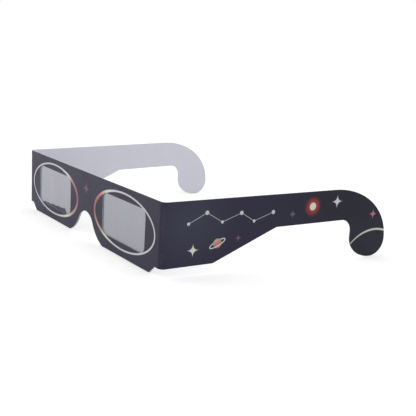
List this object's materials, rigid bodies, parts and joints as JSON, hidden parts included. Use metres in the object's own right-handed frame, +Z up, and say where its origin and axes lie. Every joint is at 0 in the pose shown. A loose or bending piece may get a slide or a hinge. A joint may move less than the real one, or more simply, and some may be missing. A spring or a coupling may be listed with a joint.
{
  "type": "eclipse glasses",
  "caption": "Folding card eclipse glasses: flat card front with two filter film windows and a nose notch, and card temples with ear hooks that fold at creases.",
  "frame": {"origin": "middle of the box round the object, at the lowest points of the ear hooks", "axes": "+Z up, +X towards the wearer's left, -Y forwards: the front faces -Y and the temples run to +Y"},
  "size_m": [0.1654, 0.1372, 0.038],
  "materials": {
    "printed_card": "satin dark print on one side of the blank, plain white card on the other",
    "filter_film": "silver-grey metallised film, slightly wrinkled",
    "glue": "dried white glue"
  },
  "bodies": {
    "front": {"front_panel": "printed_card", "back_panel": "printed_card", "left_bottom_fold": "printed_card", "right_bottom_fold": "printed_card", "left_crease": "printed_card", "right_crease": "printed_card", "left_filter_film": "filter_film", "right_filter_film": "filter_film", "top_glue_band": "glue", "bridge_glue_patch": "glue", "left_end_glue_band": "glue", "right_end_glue_band": "glue"},
    "left_temple": {"left_temple": "printed_card"},
    "right_temple": {"right_temple": "printed_card"}
  },
  "joints": [
    {"name": "left_temple_fold", "type": "hinge", "parent": "front", "child": "left_temple", "pos_m": [0.07138, -0.06722, 0], "axis": [0, 0, 1], "range_deg": [-85.85, 94.5], "deforming": ["left_crease"]},
    {"name": "right_temple_fold", "type": "hinge", "parent": "front", "child": "right_temple", "pos_m": [-0.07138, -0.06722, 0], "axis": [0, 0, -1], "range_deg": [-85.85, 93.8], "deforming": ["right_crease"]}
  ]
}
